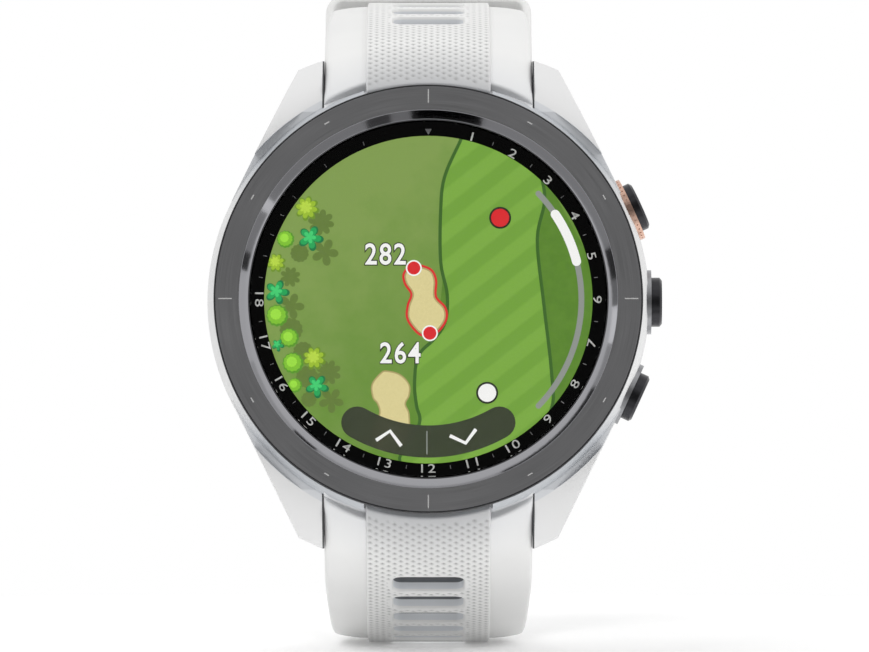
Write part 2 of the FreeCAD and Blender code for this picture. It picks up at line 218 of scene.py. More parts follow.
LINER_SIDE = ((-10.1, 20.9), (-9.2, 22.9), (-7.7, 24.5), (-6.1, 25.6), (-4.2, 26.3), (-2.5, 26.3),
              (-2.5, 20.9))
LINER_IN = 11.24
LINER_OUT = 11.4


def liner(x0, x1, side):
    """A slim dark plate on a lug's inner face: painted shadow for the gap between lug and strap."""
    count = len(LINER_SIDE)
    points = [(x, y, z * side) for x in (x0, x1) for y, z in LINER_SIDE]
    edges = [(i, (i + 1) % count, (i + 1) % count + count, i + count) for i in range(count)]
    return points, [tuple(range(count - 1, -1, -1)), tuple(range(count, 2 * count))] + edges


def mesh_piece(name, points, faces, finishes, picks=None, crease=32):
    """A mesh from points in millimetres, smooth but for its creases."""
    mesh = bpy.data.meshes.new(name)
    mesh.from_pydata([tuple(c * MM for c in p) for p in points], [], faces)
    for finish in finishes:
        mesh.materials.append(finish.material)
    if picks is not None:
        mesh.polygons.foreach_set("material_index", picks)
    mesh.polygons.foreach_set("use_smooth", [True] * len(mesh.polygons))
    mesh.set_sharp_from_angle(angle=math.radians(crease))
    mesh.validate()
    piece = bpy.data.objects.new(name, mesh)
    bpy.context.scene.collection.objects.link(piece)
    return piece


def joined(name, shapes, finishes):
    """Several small solids as one piece."""
    points, faces = [], []
    for corners, sides in shapes:
        base = len(points)
        points += corners
        faces += [tuple(base + i for i in side) for side in sides]
    return mesh_piece(name, points, faces, finishes)


# Painted shadow: dark plates on the lugs' inner faces stand in for the shade in the gap beside the strap.
liner_dark = moulded("liner_dark", shade(58, 59, 61), 0.5, 0.65, 0.1, 0.006)
gap_shadow_plates = [liner(way * LINER_IN, way * LINER_OUT, side) for way in (-1, 1) for side in (-1, 1)]
gap_shadow_piece = joined("lug_liners", gap_shadow_plates, [liner_dark])
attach(gap_shadow_piece, "watch")


# ---- bezel ----
# A turned steel ring, grey coated. Its flat is brushed round the dial, the inner chamfer is polished, and
# twelve hour marks are cut into the flat: long ones at 12, 3, 6 and 9, short ones across between them.
BEZEL_LOW, BEZEL_HIGH = (v / MM for v in (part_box("bezel")[0][1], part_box("bezel")[1][1]))
BEZEL_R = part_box("bezel")[1][0] / MM
FLAT_OUT = BEZEL_R - 0.2
FLAT_IN = 20.28
MARK_R = 21.75
LENS_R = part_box("lens")[1][0] / MM


def turned(name, profile, finishes, picks=None, steps=240):
    """A profile of (radius, depth) points turned about the dial's axis."""
    count = len(profile)
    points = []
    for step in range(steps):
        turn = 2 * math.pi * step / steps
        points += [(r * math.cos(turn), y, r * math.sin(turn)) for r, y in profile]
    faces = []
    kinds = []
    for step in range(steps):
        here, there = step * count, (step + 1) % steps * count
        for i in range(count):
            j = (i + 1) % count
            faces.append((here + i, here + j, there + j, there + i))
            kinds.append(picks[i] if picks else 0)
    return mesh_piece(name, points, faces, finishes, kinds)


def brushed_round(name, dark, light, rough):
    """Coated steel brushed in circles about the dial."""
    finish = Finish(name, dark, rough, metal=1.0)
    radius, turn = polar(finish)
    lines = finish.node("ShaderNodeCombineXYZ", {}, radius * 9.0, turn * 2.5, 0.0)
    streak = finish.speckle(1.0, detail=3.0, vector=lines)
    sweep = finish.speckle(1.0, vector=finish.node("ShaderNodeCombineXYZ", {}, turn * 1.6, 0.0, 0.0))
    finish.feed("Base Color", finish.tint(streak * 0.45 + sweep * 0.55, dark, light))
    finish.feed("Roughness", streak * 0.14 + rough)
    finish.relief(streak, 0.006)
    return finish


def polished(name, colour, rough=0.05):
    """Polished metal with faint wipe marks."""
    finish = Finish(name, colour, rough, metal=1.0)
    finish.feed("Roughness", finish.speckle(2.5) * 0.04 + rough)
    finish.relief(finish.speckle(0.9), 0.002)
    return finish


bezel_grey = brushed_round("bezel_grey", shade(156, 156, 158), shade(204, 204, 206), 0.3)
bezel_polish = polished("bezel_polish", shade(168, 168, 172))
bezel_edge = brushed_round("bezel_edge", shade(44, 44, 46), shade(64, 64, 66), 0.35)
mark_fill = moulded("mark_fill", shade(166, 166, 165), 0.3, 0.4, 0.1, 0.004)

bezel_profile = [(LENS_R + 0.03, BEZEL_HIGH), (BEZEL_R - 0.1, BEZEL_HIGH), (BEZEL_R, BEZEL_HIGH - 0.1),
                 (BEZEL_R, BEZEL_LOW + 0.24), (BEZEL_R - 0.03, BEZEL_LOW + 0.14),
                 (FLAT_OUT + 0.09, BEZEL_LOW + 0.03), (FLAT_OUT, BEZEL_LOW), (FLAT_OUT - 0.04, BEZEL_LOW),
                 (FLAT_IN + 0.08, BEZEL_LOW), (FLAT_IN + 0.04, BEZEL_LOW), (FLAT_IN - 0.02, BEZEL_LOW + 0.02),
                 (FLAT_IN - 0.06, BEZEL_LOW + 0.04), (LENS_R + 0.13, BEZEL_LOW + 0.47),
                 (LENS_R + 0.1, BEZEL_LOW + 0.49), (LENS_R + 0.03, BEZEL_LOW + 0.6)]
bezel_picks = [0, 0, 2, 2, 2, 2, 0, 0, 0, 1, 1, 1, 1, 1, 0]
bezel = turned("bezel_ring", bezel_profile, [bezel_grey, bezel_polish, bezel_edge], bezel_picks, steps=360)
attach(bezel, "watch")
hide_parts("bezel")


def bar_mark(radius, turn, length, width, low, high):
    """The corners and faces of a slim bar that points at the dial's centre, with its top narrowed."""
    corners = []
    for y, shrink in ((high, 1.0), (low, 0.8)):
        for aside, ahead in ((-1, -1), (1, -1), (1, 1), (-1, 1)):
            side, out = aside * width * shrink / 2, radius + ahead * length / 2
            corners.append((out * math.sin(turn) + side * math.cos(turn), y,
                            out * math.cos(turn) - side * math.sin(turn)))
    sides = [(i, (i + 1) % 4, (i + 1) % 4 + 4, i + 4) for i in range(4)]
    return corners, [(3, 2, 1, 0), (4, 5, 6, 7)] + sides


hour_marks = []
for hour in range(12):
    length, width = (1.45, 0.15) if hour % 3 == 0 else (0.13, 0.68)
    hour_turn = math.radians(30 * hour)
    hour_marks.append(bar_mark(MARK_R, hour_turn, length, width, BEZEL_LOW - 0.015, BEZEL_LOW + 0.05))
marks = joined("hour_marks", hour_marks, [mark_fill])
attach(marks, "watch")


# ---- glass and numeral ring ----
# A flat hardened glass sits in the bezel with a hair of bright edge round it. The black ring printed
# under it carries the hole numbers 1 to 18 and a small tick between each pair.
glass = Finish("hard_glass", (1, 1, 1), 0.0, IOR=1.42, Transmission_Weight=1.0)
dress(glass, "lens")
ring_black = moulded("ring_black", shade(9, 9, 10), 0.2, 0.3, 0.3, 0.002)
dress(ring_black, "chapter_ring")
glass_edge = polished("glass_edge", shade(205, 205, 208), 0.15)
LENS_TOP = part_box("lens")[0][1] / MM
RING_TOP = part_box("chapter_ring")[0][1] / MM
RING_MID = 18.12
PRINT = 0.012
edge_profile = [(LENS_R - 0.02, LENS_TOP + 0.2), (LENS_R + 0.05, LENS_TOP + 0.2),
                (LENS_R + 0.05, LENS_TOP - 0.02), (LENS_R - 0.01, LENS_TOP - 0.02)]
edge_line = turned("glass_rim", edge_profile, [glass_edge])
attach(edge_line, "watch")


def lettering(text, height, wide=1.0, weight=0.0, spacing=1.0):
    """Flat outlines of a short text, of a height before it is made bolder: centred points, and faces."""
    curve = bpy.data.curves.new("text", "FONT")
    curve.body = text
    curve.align_x = "CENTER"
    curve.align_y = "CENTER"
    curve.offset = weight
    curve.space_character = spacing
    curve.resolution_u = 4
    writing = bpy.data.objects.new("text", curve)
    bpy.context.scene.collection.objects.link(writing)
    bpy.context.view_layer.update()
    mesh = bpy.data.meshes.new_from_object(writing)
    bpy.data.objects.remove(writing)
    points = [v.co.copy() for v in mesh.vertices]
    faces = [tuple(p.vertices) for p in mesh.polygons]
    low = min(p.y for p in points)
    high = max(p.y for p in points)
    left = min(p.x for p in points)
    right = max(p.x for p in points)
    scale = height / (high - low - 2 * weight)
    centred = [((p.x - (left + right) / 2) * scale * wide, (p.y - (low + high) / 2) * scale) for p in points]
    return centred, faces


def lay_flat(points, x, z, turn, depth):
    """Drawing points turned and set on the dial at a depth."""
    c, s = math.cos(turn), math.sin(turn)
    return [(x + a * c - b * s, depth, z + a * s + b * c) for a, b in points]


numerals = []
for hole in range(1, 19):
    clockwise = math.radians(15 * hole)
    inward = hole > 5
    outline, sides = lettering(str(hole), 0.92, wide=1.4, weight=0.002, spacing=1.12)
    turn = math.pi - clockwise if inward else -clockwise
    at = (RING_MID * math.sin(clockwise), RING_MID * math.cos(clockwise))
    numerals.append((lay_flat(outline, *at, turn, RING_TOP - PRINT), sides))
white_print = moulded("white_print", shade(228, 228, 226), 0.5, 0.6, 0.1, 0.002)
hole_numbers = joined("hole_numbers", numerals, [white_print])
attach(hole_numbers, "watch")

ring_ticks = []
for step in [*range(3, 37, 2), 37, 38, 39, 40, 41, 43, 45]:
    turn = math.radians(7.5 * step)
    ring_ticks.append(bar_mark(RING_MID, turn, 0.4, 0.09, RING_TOP - PRINT, RING_TOP - 0.002))
top_mark = [(math.sin(a) * 0.42, RING_TOP - PRINT, RING_MID + math.cos(a) * 0.42)
            for a in (math.pi, math.pi * 5 / 3, math.pi / 3)]
ring_ticks.append((top_mark, [(0, 1, 2)]))
grey_print = moulded("grey_print", shade(122, 122, 124), 0.5, 0.6, 0.1, 0.002)
ticks = joined("ring_ticks", ring_ticks, [grey_print])
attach(ticks, "watch")


# ---- display ----
# A round AMOLED panel, lit with a drawing of one golf hole: mown fairway between rough, two bunkers with
# carry distances, trees in plan, a scroll bar along the right edge and an up and down pill at the bottom.
PANEL_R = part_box("display_panel")[1][0] / MM - 0.05
PANEL_FACE = RING_TOP + 0.35
LAYER = 0.008
FILM = 0.006
UNLIT = (0.004, 0.004, 0.004)


def lit(name, colour, other=None, size=0.5):
    """Light from the display, even or wandering between two tones."""
    finish = Finish(name, UNLIT, 0.35, Emission_Strength=1.0)
    if other:
        finish.feed("Emission Color", finish.tint(finish.speckle(size, detail=5.0), colour, other))
    else:
        finish.feed("Emission Color", (*colour, 1))
    return finish


def inside_view(x, z):
    """Keeps a drawing point on the panel."""
    limit = PANEL_R - 0.1
    reach = math.hypot(x, z)
    return (x, z) if reach < limit else (x * limit / reach, z * limit / reach)


def flowing(outline, steps=6):
    """A closed smooth line through a few points."""
    count = len(outline)
    line = []
    for i in range(count):
        a, b, c, d = (Vector(outline[(i + k) % count]) for k in (-1, 0, 1, 2))
        for step in range(steps):
            t = step / steps
            bend, twist = 2 * a - 5 * b + 4 * c - d, 3 * b - a - 3 * c + d
            point = 0.5 * (2 * b + (c - a) * t + bend * t ** 2 + twist * t ** 3)
            line.append((point.x, point.y))
    return line


def circle(x, z, radius, steps=40):
    return [(x + radius * math.cos(2 * math.pi * k / steps), z + radius * math.sin(2 * math.pi * k / steps))
            for k in range(steps)]


def grown(outline, margin):
    """An outline moved outwards by a margin."""
    area = sum(a[0] * b[1] - b[0] * a[1] for a, b in zip(outline, outline[1:] + outline[:1]))
    margin = margin if area > 0 else -margin
    wider = []
    for before, here, after in zip(outline[-1:] + outline[:-1], outline, outline[1:] + outline[:1]):
        along = Vector((after[0] - before[0], after[1] - before[1])).normalized()
        wider.append((here[0] + along.y * margin, here[1] - along.x * margin))
    return wider


def sliver(outline, layer):
    """A thin solid of an outline, lying on a layer of the drawing."""
    outline = [inside_view(*p) for p in outline]
    count = len(outline)
    face = PANEL_FACE - LAYER * layer
    points = [(x, face, z) for x, z in outline] + [(x, face + FILM, z) for x, z in outline]
    sides = [(i, i + count, (i + 1) % count + count, (i + 1) % count) for i in range(count)]
    return points, [tuple(range(count)), tuple(range(2 * count - 1, count - 1, -1))] + sides


def drawn(name, shapes, finish):
    """One part of the drawing, riding on the display."""
    piece = joined(name, shapes, [finish])
    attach(piece, "watch")


def stroke(line, width, layer):
    """A line of even width through points, with square ends."""
    left, right = [], []
    for i, here in enumerate(line):
        before, after = line[max(i - 1, 0)], line[min(i + 1, len(line) - 1)]
        along = Vector((after[0] - before[0], after[1] - before[1])).normalized()
        left.append((here[0] - along.y * width / 2, here[1] + along.x * width / 2))
        right.append((here[0] + along.y * width / 2, here[1] - along.x * width / 2))
    return sliver(left + right[::-1], layer)


def arc_band(inner, outer, start, end, steps=40):
    """An arched band with round ends, between two angles in degrees from 3 o'clock."""
    middle, half = (inner + outer) / 2, (outer - inner) / 2
    low, high = math.radians(start), math.radians(end)
    sweep = [low + (high - low) * k / steps for k in range(steps + 1)]
    edge = [(outer * math.cos(a), outer * math.sin(a)) for a in sweep]
    back = [(inner * math.cos(a), inner * math.sin(a)) for a in reversed(sweep)]
    caps = []
    for angle, begin in ((high, high), (low, low + math.pi)):
        caps.append([(middle * math.cos(angle) + half * math.cos(begin + math.pi * k / 12),
                      middle * math.sin(angle) + half * math.sin(begin + math.pi * k / 12))
                     for k in range(1, 12)])
    return edge + caps[0] + back + caps[1]


rough = Finish("rough_green", UNLIT, 0.35, Emission_Strength=1.0)
right, _, up = rough.axes(rough.place())
shaded = right * 0.03 - up * 0.03 + rough.speckle(2.5, detail=6.0) * 0.8 + 0.1
rough_tone = rough.ramp(shaded, (0.0, 0.0), (1.0, 1.0))
rough.feed("Emission Color", rough.tint(rough_tone, shade(128, 156, 78), shade(92, 138, 40)))
STEPS = 160
PANEL_THICK = 0.9
panel_points = [(x, y, z) for y in (PANEL_FACE, PANEL_FACE + PANEL_THICK)
                for x, z in circle(0, 0, PANEL_R, STEPS)]
panel_faces = [(i, i + STEPS, (i + 1) % STEPS + STEPS, (i + 1) % STEPS) for i in range(STEPS)]
panel_ends = [tuple(range(STEPS)), tuple(range(2 * STEPS - 1, STEPS - 1, -1))]
panel = joined("display_face", [(panel_points, panel_ends + panel_faces)], [rough])
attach(panel, "watch")
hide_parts("display_panel")

deep_rough = lit("deep_rough", shade(78, 122, 34), shade(98, 142, 44), 0.9)
RIGHT_ROUGH = [(4, 18.5), (13, 13), (18, 4), (18, -6), (13, -13), (2, -18.5), (-2, -18.5), (1, -4), (2, 8)]
drawn("deep_rough", [sliver(RIGHT_ROUGH, 1)], deep_rough)

LEFT_EDGE = [(4.6, 19.0), (3.6, 17.0), (1.9, 13.1), (1.5, 9.5), (1.5, 4.1), (2.2, 0.6), (2.0, -2.4),
             (0.8, -4.3), (-0.9, -6.1), (-1.3, -9.0), (-1.1, -11.3), (-0.8, -13.4), (-2.8, -17.6)]
RIGHT_EDGE = [(3.5, -18.4), (10.5, -14.8), (13.0, -11.7), (13.0, -7.6), (12.2, -0.5), (11.5, 6.5),
              (12.3, 11.3), (10.5, 15.5)]
fairway_line = flowing(LEFT_EDGE + RIGHT_EDGE)
edge_green = lit("fairway_edge", shade(56, 100, 32))
drawn("fairway_edge", [sliver(grown(fairway_line, 0.36), 2)], edge_green)

mown = Finish("mown_green", UNLIT, 0.35, Emission_Strength=1.0)
right, _, up = mown.axes(mown.place())
band = mown.node("ShaderNodeMath", {"operation": "PINGPONG"}, up * 0.79 - right * 0.62, 1.5) / 1.5
stripe = mown.ramp(band + mown.speckle(0.5) * 0.12, (0.45, 0.0), (0.63, 1.0))
cut_grass = mown.tint(mown.speckle(0.18, detail=3.0), shade(119, 167, 60), shade(127, 175, 67))
mown.feed("Emission Color", mown.tint(stripe, shade(113, 161, 56), cut_grass))
drawn("fairway", [sliver(fairway_line, 3)], mown)

bunker_a = flowing([(-2.5, 2.8), (-1.6, 3.6), (0.1, 3.2), (0.7, 2.1), (0.7, 0.3), (1.7, -0.9), (1.8, -2.1),
                    (1.0, -3.3), (0.2, -3.6), (-0.9, -3.6), (-2.1, -2.1), (-2.1, -0.7), (-1.7, 0.6),
                    (-2.4, 1.8)])
bunker_b = flowing([(-6.1, -9.1), (-5.2, -7.9), (-4.5, -7.6), (-3.0, -8.0), (-2.0, -9.1), (-2.0, -10.3),
                    (-2.4, -11.2), (-2.0, -12.3), (-2.1, -14.7), (-3.5, -16.2), (-5.5, -16.0), (-6.2, -14.4),
                    (-5.3, -12.3), (-5.5, -11.2), (-6.0, -10.5)])
sand = lit("bunker_sand", shade(214, 202, 142), shade(226, 214, 156), 0.25)
sand_lip = lit("bunker_lip", shade(176, 160, 104))
alert_red = lit("alert_red", shade(218, 34, 40))
drawn("bunker_outline", [sliver(grown(bunker_a, 0.24), 4)], alert_red)
drawn("bunker_lips", [sliver(bunker_a, 5), sliver(bunker_b, 5)], sand_lip)
drawn("bunker_sand", [sliver(grown(line, -0.16), 6) for line in (bunker_a, bunker_b)], sand)

TREES = {"star": [(-13.0, 9.8, 1.35), (-16.3, 3.95, 1.05), (-12.2, -6.3, 1.3)],
         "bush": [(-15.3, 6.5, 0.95), (-16.2, -1.7, 1.2), (-14.9, -4.1, 1.05), (-14.5, -6.8, 1.15),
                  (-14.3, -9.2, 0.8)],
         "palm": [(-12.6, 6.6, 1.4), (-16.2, 0.8, 1.35), (-16.1, -4.9, 0.7), (-11.9, -9.3, 1.3)]}
PETALS = {"star": (8, 0.45, 0.6), "bush": (13, 0.1, 1.0), "palm": (5, 0.72, 0.7)}
LEAF_TONES = {"star": (shade(104, 140, 36), shade(148, 182, 44), shade(176, 206, 66)),
              "bush": (shade(84, 146, 38), shade(122, 186, 46), shade(150, 214, 62)),
              "palm": (shade(18, 112, 62), shade(30, 158, 82), shade(62, 196, 108))}


def crown(kind, x, z, radius, layer, turn):
    """A tree from above: an outline with as many lobes as its kind has."""
    lobes, swing, sharp = PETALS[kind]
    line = []
    for k in range(90):
        a = 2 * math.pi * k / 90
        reach = radius * (1 - swing + swing * abs(math.cos(lobes * (a + turn) / 2)) ** sharp)
        line.append((x + reach * math.cos(a), z + reach * math.sin(a)))
    return sliver(line, layer)


random.seed(7)
tree_shade = lit("tree_shade", shade(94, 118, 52), shade(104, 130, 56), 0.6)
trees = [(kind, *tree, random.uniform(0, 3)) for kind, places in TREES.items() for tree in places]
shadows = [crown(kind, x + 1.5, z - 1.5, r * 1.05, 4, turn) for kind, x, z, r, turn in trees]
drawn("tree_shade", shadows, tree_shade)
for kind, tones in LEAF_TONES.items():
    for step, (tone, size, nudge) in enumerate(zip(tones, (1.0, 0.84, 0.5), (0.0, 0.06, 0.14))):
        leaves = lit(f"{kind}_leaf_{step + 1}", tone, tuple(1.2 * c for c in tone), 0.25)
        drawn(f"{kind}_leaves_{step + 1}", [crown(kind, x - nudge, z + nudge, r * size, 5 + step, turn)
                                            for other, x, z, r, turn in trees if other == kind], leaves)

snow = lit("sign_white", shade(246, 246, 244))
ink = lit("sign_black", shade(24, 28, 18))
signs = ((-4.6, 4.9, "282"), (-3.0, -5.7, "264"))
for layer, weight, finish in ((8, 0.052, ink), (9, 0.016, snow)):
    shapes = []
    for x, z, text in signs:
        outline, sides = lettering(text, 2.22, wide=0.86, weight=weight, spacing=1.14)
        shapes.append((lay_flat(outline, x, z, 0, PANEL_FACE - LAYER * layer), sides))
    drawn("carry_" + finish.material.name, shapes, finish)

drawn("carry_rims", [sliver(circle(x, z, 0.86), 9) for x, z in ((-1.56, 3.4), (0.16, -3.6))], snow)
drawn("carry_dots", [sliver(circle(x, z, 0.7), 10) for x, z in ((-1.56, 3.4), (0.16, -3.6))], alert_red)
drawn("aim_rims", [sliver(circle(x, z, 1.18), 6) for x, z in ((7.7, 8.8), (6.3, -10.0))], ink)
drawn("aim_red", [sliver(circle(7.7, 8.8, 0.97), 7)], alert_red)
drawn("aim_white", [sliver(circle(6.3, -10.0, 0.97), 7)], snow)

track = lit("scroll_grey", shade(142, 147, 141))
drawn("scroll_track", [sliver(arc_band(16.1, 16.72, -44, 44), 6)], track)
drawn("scroll_thumb", [sliver(arc_band(15.92, 16.9, 14.5, 34), 7)], snow)
pill_dark = Finish("pill_dark", UNLIT, 0.35, Emission_Strength=1.0, Alpha=0.86)
pill_dark.feed("Emission Color", pill_dark.tint(pill_dark.speckle(2.0), shade(42, 48, 32), shade(56, 62, 44)))
drawn("scroll_pill", [sliver(arc_band(13.5, 16.95, -120, -60), 9)], pill_dark)
drawn("pill_marks", [stroke([(-5.6, -15.1), (-4.1, -14.1), (-2.9, -15.7)], 0.38, 11),
                     stroke([(2.3, -14.6), (4.0, -15.4), (5.1, -13.9)], 0.38, 11)], snow)
drawn("pill_divider", [stroke([(-0.15, -14.1), (-0.15, -16.6)], 0.12, 11)], track)


# ---- strap ----
# Two halves of soft matt white silicone; the slot walls are painted grey as shade, darker deeper in. Each has
# smooth crowned sides, a raised centre panel pressed with a close, staggered pattern of small dimples painted
# darker in their hollows as shade, and a nose painted greyer as shade near the case.
STRAP_START = (-9.2, 23.5)
STRAP_T = 2.6
PANEL_HALF = 6.6
PANEL_RISE = 0.45
PANEL_NOSE_R = 23.1
SIDE_NOSE_R = 24.45
LEDGE_R = 24.0
SLOT_PITCH = 5.6
SLOT_REACH = (2.85, 0.95)
SLOT_R = 0.95
SLOT_SHADE_SPLIT = 0.75
DIMPLE_PITCH = 0.66
ROW_PITCH = SLOT_PITCH / 5.5
ROW_STEP = ROW_PITCH / 6
SIDE_STEPS = (0.03, 0.09, 0.22, 0.5, 0.68, 0.8, 0.88, 0.94, 0.975, 0.993, 1.0)
NOSE_ROWS = (-1.0, -0.5, -0.03, 0.0, 0.04, 0.1, 0.18, 0.28, 0.42, 0.6)
NOSE_BLEND = 6.0
PIN_ALONG = 4.96
DIMPLE_R = 0.25
DIMPLE_DEPTH = 0.15
TIP_R = 7.0
BUCKLE_ROWS = (0, 0.3, 0.6, 0.9, 1.15, 1.35, 1.5, 1.6, 1.66)


class Run:
    """A strap half's outer face in side view: arcs of (start, end, radius) laid end to end from the lug."""

    def __init__(self, arcs, side):
        self.side = side
        self.table = []
        y, z = STRAP_START
        along = 0.0
        for start, end, radius in arcs:
            a, b = math.radians(start), math.radians(end)
            centre = (y + radius * math.cos(a), z - radius * math.sin(a))
            self.table.append((along, a, radius, *centre))
            y, z = centre[0] - radius * math.cos(b), centre[1] + radius * math.sin(b)
            along += radius * (b - a)
        self.length = along

    def place(self, x, along, lift):
        """Points of the watch for distances across, along and out from the strap's outer face."""
        x, along, lift = np.broadcast_arrays(*(np.asarray(v, float) for v in (x, along, lift)))
        table = np.array(self.table)
        arc = table[np.clip(np.searchsorted(table[:, 0], along, side="right") - 1, 0, len(table) - 1)]
        turn = arc[..., 1] + (along - arc[..., 0]) / arc[..., 2]
        reach = arc[..., 2] + lift
        y = arc[..., 3] - reach * np.cos(turn)
        z = arc[..., 4] + reach * np.sin(turn)
        return np.stack([x, y, z * self.side], axis=-1)


LUG_ARCS = ((50, 70, 35.0), (70, 80, 97.0), (80, 90, 60.0))
upper_run = Run((*LUG_ARCS, (90, 180, 20.5)), 1)
lower_run = Run((*LUG_ARCS, (90, 195.2, 42.0)), -1)


def nose_start(x, radius):
    """How far along the strap, before its lug end's datum, a circle about the dial crosses it."""
    first, lean = math.radians(LUG_ARCS[0][0]), LUG_ARCS[0][2]
    drop = np.sqrt(radius ** 2 - x ** 2) - STRAP_START[1]
    return lean * (np.arcsin(drop / lean + math.sin(first)) - first)


def rounding(distance, radius):
    """How far a rounded edge has dropped, at a distance inside it."""
    gap = np.clip(radius - distance, 0, radius)
    return radius - np.sqrt(radius ** 2 - gap ** 2)


def eased(value):
    value = np.clip(value, 0, 1)
    return value * value * (3 - 2 * value)


def half_width(along):
    """Half the strap's width: it narrows away from the case."""
    return np.interp(along, (15, 40, 47), (11.2, 10.5, 10.1))


def slot_gap(x, along, slots):
    """The nearest slot's rim: how far outside it a point is, and the slot's own inner point."""
    across = np.clip(x, -SLOT_REACH[0], SLOT_REACH[0])
    nearest = slots[np.argmin(np.abs(along[..., None] - slots), axis=-1)]
    nearest = nearest + np.clip(along - nearest, -SLOT_REACH[1], SLOT_REACH[1])
    away = np.hypot(x - across, along - nearest)
    return away - SLOT_R, across, nearest, away


def dimples(x, along, first_row, gap, clear_from, clear_to):
    """The depth of the pressed dimples: alternate columns are shifted by half a row."""
    column = np.clip(np.round(x / DIMPLE_PITCH - 0.5), -10, 9)
    shift = np.where(column % 2 == 0, 0.0, ROW_PITCH / 2)
    row = np.round((along - first_row - shift) / ROW_PITCH) * ROW_PITCH + first_row + shift
    reach = np.hypot(x - (column + 0.5) * DIMPLE_PITCH, along - row)
    depth = np.clip(1 - (reach / DIMPLE_R) ** 2, 0, 1)
    kept = (gap > 0.5) & (np.abs(x) < PANEL_HALF - 0.1) & (along > clear_from) & (along < clear_to)
    return np.where(kept, depth, 0.0)


